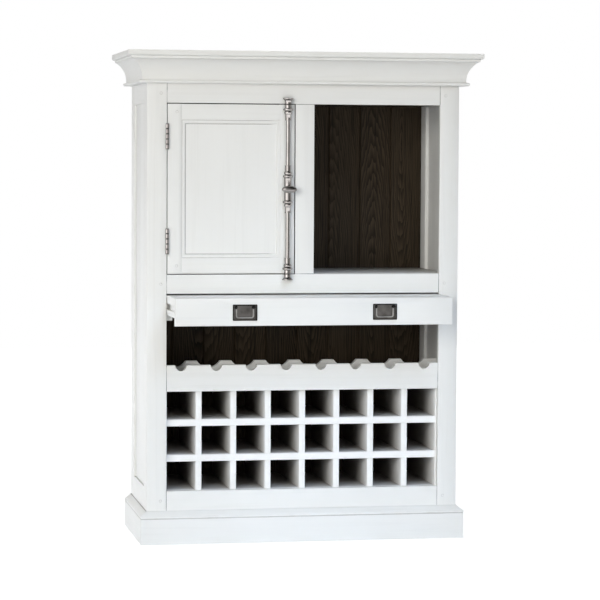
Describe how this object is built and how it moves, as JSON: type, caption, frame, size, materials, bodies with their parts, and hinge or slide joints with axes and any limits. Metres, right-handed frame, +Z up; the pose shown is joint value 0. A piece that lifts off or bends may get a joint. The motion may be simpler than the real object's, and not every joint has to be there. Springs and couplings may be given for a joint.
{
  "type": "wine cabinet",
  "caption": "White painted wine cabinet with a bolted door, an open bay with a hanging rack, a pull-out tray, a bottle cradle and pigeonholes below a coved cornice.",
  "frame": {"origin": "on the floor, midway along the back plane", "axes": "+X to the viewer's right, +Y towards the wall behind, +Z up; the front faces -Y"},
  "size_m": [1.07, 0.577, 1.465],
  "materials": {
    "white_paint": "satin white paint on timber, a little worn at the arrises",
    "dark_stain": "matt dark brown stain, open grain",
    "nickel": "polished nickel plate, slightly aged",
    "pewter": "dark pewter, satin"
  },
  "bodies": {
    "root": {"face_stile_left": "white_paint", "face_stile_right": "white_paint", "frieze_rail": "white_paint", "centre_stile": "white_paint", "middle_rail": "white_paint", "bottom_rail": "white_paint", "cradle_front_rail": "white_paint", "frame_pegs": "white_paint", "side_front_stiles": "white_paint", "side_rear_stiles": "white_paint", "side_top_rails": "white_paint", "side_bottom_rails": "white_paint", "side_panel_left": "white_paint", "side_panel_right": "white_paint", "back_boards": "dark_stain", "back_bottom_rail": "white_paint", "plinth_front": "white_paint", "plinth_returns": "white_paint", "cornice_top": "white_paint", "crown_front": "white_paint", "crown_returns": "white_paint", "cornice_bead": "white_paint", "top_panel": "white_paint", "upper_floor": "white_paint", "partition": "white_paint", "door_bay_shelf": "white_paint", "shelf_cleats": "white_paint", "rack_floor": "white_paint", "rack_sides": "white_paint", "rack_top": "white_paint", "rack_shelves": "white_paint", "rack_dividers": "white_paint", "cradle_rear_rail": "white_paint", "hanger_board": "dark_stain", "hanger_rails": "dark_stain", "tray_runners": "white_paint", "hinge_frame_leaves": "nickel", "bolt_keepers": "nickel"},
    "door": {"door_hinge_stile": "white_paint", "door_lock_stile": "white_paint", "door_top_rail": "white_paint", "door_bottom_rail": "white_paint", "door_panel": "white_paint", "door_panel_bead": "white_paint", "door_pegs": "white_paint", "hinge_door_leaves": "nickel", "bolt_case": "nickel", "bolt_guides": "nickel"},
    "rod_upper": {"bolt_rod_upper": "nickel"},
    "rod_lower": {"bolt_rod_lower": "nickel"},
    "knob": {"bolt_knob": "nickel", "bolt_pinion": "nickel"},
    "tray": {"tray_front": "white_paint", "tray_top": "white_paint", "tray_sides": "white_paint", "tray_back": "white_paint", "pull_plates": "pewter"},
    "bail_left": {"pull_bail_left": "pewter"},
    "bail_right": {"pull_bail_right": "pewter"}
  },
  "joints": [
    {"name": "door_hinge", "type": "hinge", "parent": "root", "child": "door", "pos_m": [-0.414, -0.3993, 1.0575], "axis": [0, 0, -1], "range_deg": [0, 165]},
    {"name": "knob_turn", "type": "hinge", "parent": "door", "child": "knob", "pos_m": [-0.0525, -0.4035, 1.0575], "axis": [0, 1, 0], "range_deg": [0, 150]},
    {"name": "rod_upper_slide", "type": "slide", "parent": "door", "child": "rod_upper", "axis": [0, 0, 1], "range_m": [0, 0.01309]},
    {"name": "rod_lower_slide", "type": "slide", "parent": "door", "child": "rod_lower", "axis": [0, 0, -1], "range_m": [0, 0.01309]},
    {"name": "tray_slide", "type": "slide", "parent": "root", "child": "tray", "axis": [0, -1, 0], "range_m": [-0.18, 0.08]},
    {"name": "bail_left_swing", "type": "hinge", "parent": "tray", "child": "bail_left", "pos_m": [-0.2085, -0.573, 0.7165], "axis": [-1, 0, 0], "range_deg": [0, 90]},
    {"name": "bail_right_swing", "type": "hinge", "parent": "tray", "child": "bail_right", "pos_m": [0.2085, -0.573, 0.7165], "axis": [-1, 0, 0], "range_deg": [0, 90]}
  ],
  "couplings": [
    {"joint": "knob_turn", "follows": "rod_upper_slide", "rad_per_m": 200},
    {"joint": "rod_lower_slide", "follows": "rod_upper_slide", "ratio": 1}
  ]
}
